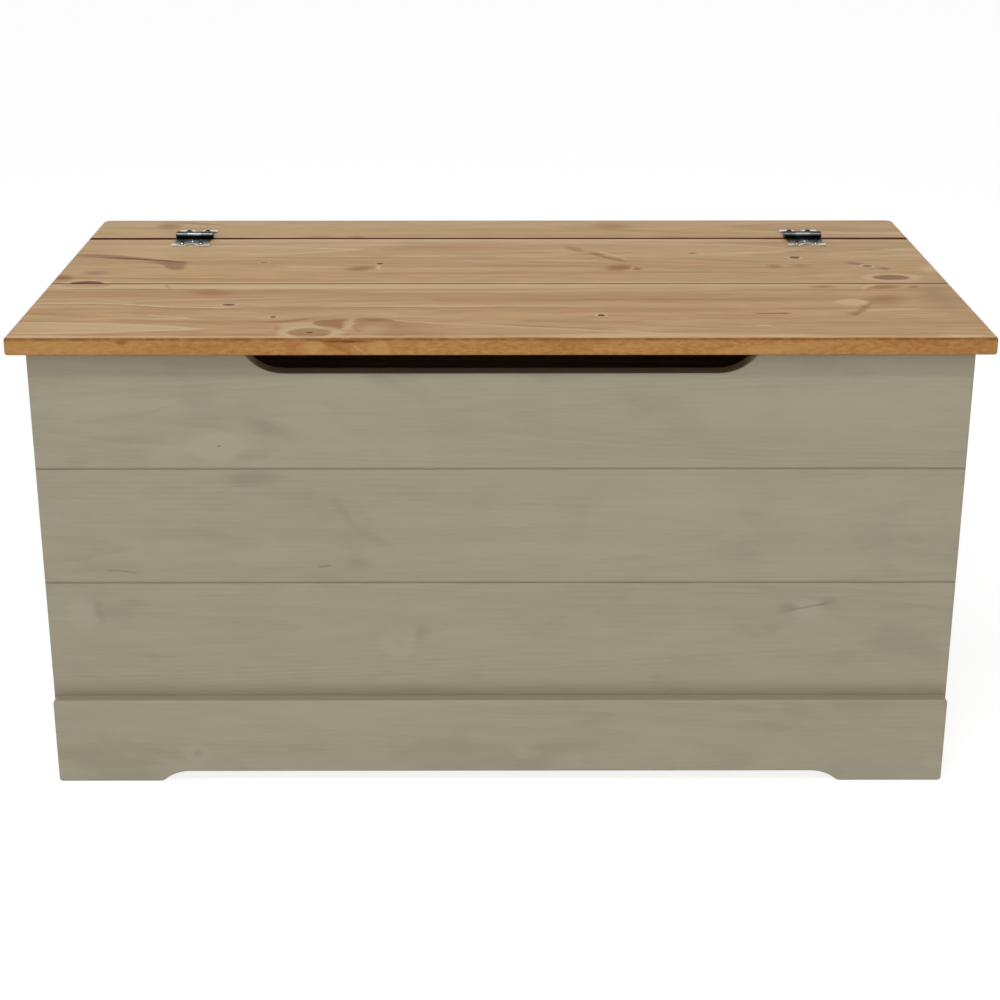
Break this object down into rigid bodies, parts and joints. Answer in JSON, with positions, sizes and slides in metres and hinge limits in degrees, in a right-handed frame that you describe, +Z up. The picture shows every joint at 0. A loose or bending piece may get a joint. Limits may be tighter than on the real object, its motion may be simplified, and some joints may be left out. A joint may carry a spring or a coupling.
{
  "type": "storage trunk",
  "caption": "Low plank storage trunk with an overhanging hinged lid, a fixed rear rail, a finger cut-out in the front and a plinth with bracket feet.",
  "frame": {"origin": "on the floor, under the centre of the top's outline", "axes": "+Z up, +Y to the rear, +X to the right seen from the front"},
  "size_m": [0.9246, 0.46, 0.4783],
  "materials": {
    "waxed_pine": "satin brown wax on knotty pine",
    "washed_pine": "matt grey-green wash, grain just showing",
    "raw_pine": "plain unfinished pine",
    "antique_metal": "dark antique pewter with bright worn edges",
    "zinc_screws": "zinc plate"
  },
  "bodies": {
    "carcass": {"back_board_bottom": "washed_pine", "back_board_middle": "washed_pine", "back_board_top": "washed_pine", "base_batten_front": "raw_pine", "base_batten_left": "raw_pine", "base_batten_rear": "raw_pine", "base_batten_right": "raw_pine", "base_batten_screws": "zinc_screws", "base_board_front": "raw_pine", "base_board_middle": "raw_pine", "base_board_rear": "raw_pine", "base_board_screws": "zinc_screws", "base_cross_rail": "raw_pine", "corner_post_front_left": "raw_pine", "corner_post_front_right": "raw_pine", "corner_post_rear_left": "raw_pine", "corner_post_rear_right": "raw_pine", "front_board_bottom": "washed_pine", "front_board_middle": "washed_pine", "front_board_top": "washed_pine", "hinge_left_pin": "antique_metal", "hinge_left_rail_leaf": "antique_metal", "hinge_right_pin": "antique_metal", "hinge_right_rail_leaf": "antique_metal", "left_board_bottom": "washed_pine", "left_board_middle": "washed_pine", "left_board_top": "washed_pine", "plinth_front": "washed_pine", "plinth_screws": "zinc_screws", "post_screws": "zinc_screws", "rail_batten": "raw_pine", "rail_batten_screws": "zinc_screws", "rail_hinge_screws": "antique_metal", "rail_screws": "zinc_screws", "rear_rail": "waxed_pine", "right_board_bottom": "washed_pine", "right_board_middle": "washed_pine", "right_board_top": "washed_pine"},
    "lid": {"hinge_left_lid_leaf": "antique_metal", "hinge_right_lid_leaf": "antique_metal", "lid_batten_left": "raw_pine", "lid_batten_right": "raw_pine", "lid_batten_screws": "zinc_screws", "lid_board_front": "waxed_pine", "lid_board_rear": "waxed_pine", "lid_hinge_screws": "antique_metal"}
  },
  "joints": [
    {"name": "lid_hinge", "type": "hinge", "parent": "carcass", "child": "lid", "pos_m": [0, 0.1415, 0.4743], "axis": [-1, 0, 0], "range_deg": [0, 104]}
  ]
}
